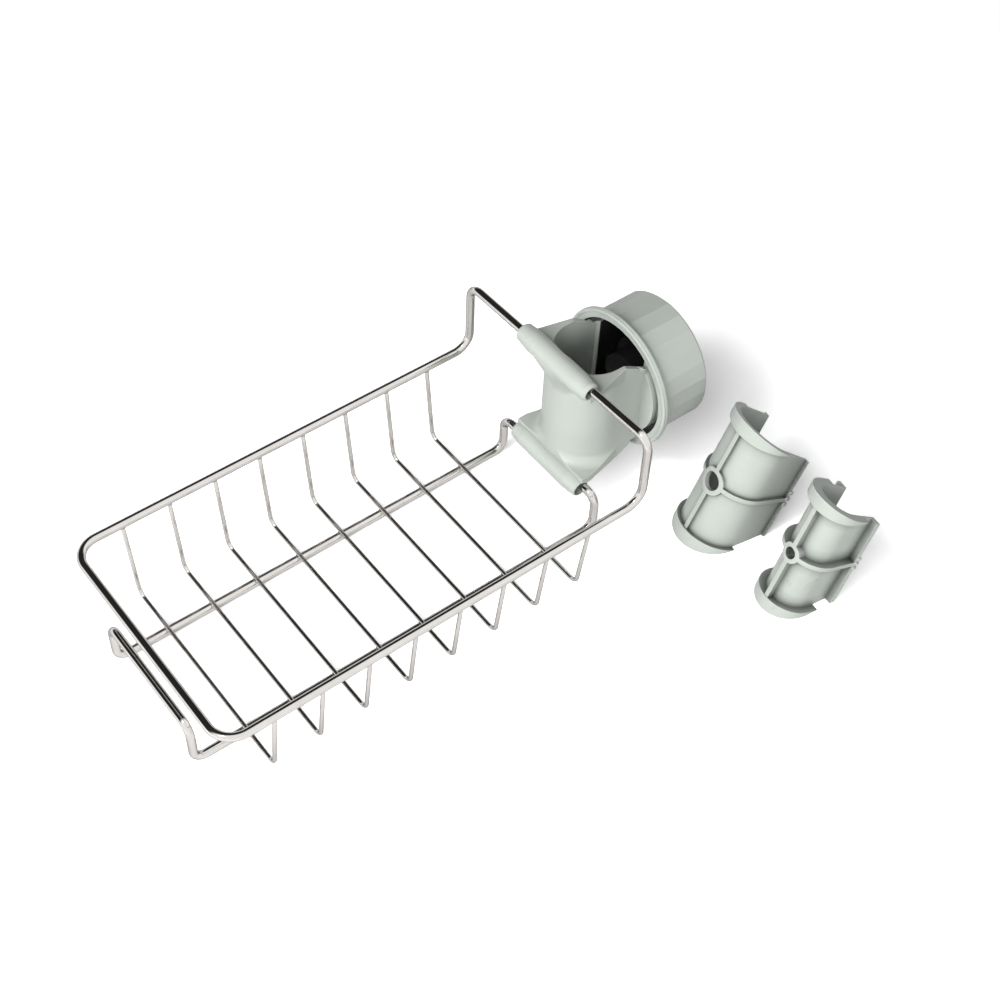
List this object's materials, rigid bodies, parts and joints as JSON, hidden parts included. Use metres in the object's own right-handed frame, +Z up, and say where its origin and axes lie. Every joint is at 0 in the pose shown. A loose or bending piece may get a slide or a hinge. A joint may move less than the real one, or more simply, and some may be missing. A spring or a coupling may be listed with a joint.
{
  "type": "pipe-clamp sponge holder",
  "caption": "Open wire tray with a screw clamp that holds it on a tap pipe, and U-shaped adapter sleeves for thinner pipes.",
  "frame": {"origin": "where the axis of the clamp's pipe seat crosses the axis of the clamp's knob, at half the seat's height", "axes": "+Z up along the pipe seat's axis, +X from the basket to the knob along the knob's axis, +Y to the basket's far side"},
  "size_m": [0.2991, 0.1931, 0.0902],
  "materials": {
    "frame_steel": "polished stainless steel wire",
    "cross_steel": "polished stainless steel wire",
    "body_plastic": "moulded, satin gloss, pale grey",
    "knob_plastic": "moulded, satin gloss, light grey",
    "presser_plastic": "moulded, matt",
    "nose_rubber": "moulded black rubber",
    "sleeve_plastic": "moulded, satin gloss, pale grey"
  },
  "bodies": {
    "rack": {"top_frame_wire": "frame_steel", "bottom_frame_wire": "frame_steel", "cross_wire_1": "cross_steel", "cross_wire_2": "cross_steel", "cross_wire_3": "cross_steel", "cross_wire_4": "cross_steel", "cross_wire_5": "cross_steel", "cross_wire_6": "cross_steel", "cross_wire_7": "cross_steel", "cross_wire_8": "cross_steel", "clamp_body": "body_plastic"},
    "presser": {"presser": "presser_plastic", "presser_pad": "nose_rubber"},
    "knob": {"knob": "knob_plastic"},
    "large_adapter": {"large_adapter": "sleeve_plastic"},
    "small_adapter": {"small_adapter": "sleeve_plastic"}
  },
  "joints": [
    {"name": "knob_travel", "type": "slide", "parent": "rack", "child": "presser", "axis": [1, 0, 0], "range_m": [-0.0034, 0.009]},
    {"name": "knob_turn", "type": "hinge", "parent": "presser", "child": "knob", "pos_m": [0.03, 0, 0], "axis": [1, 0, 0], "range_deg": [-300, 810]},
    {"name": "large_adapter_lift", "type": "slide", "parent": "rack", "child": "large_adapter", "axis": [0, 0, 1], "range_m": [0, 0.05]},
    {"name": "small_adapter_lift", "type": "slide", "parent": "rack", "child": "small_adapter", "axis": [0, 0, 1], "range_m": [0, 0.05]}
  ],
  "couplings": [
    {"joint": "knob_travel", "follows": "knob_turn", "m_per_rad": 0.00063662}
  ]
}
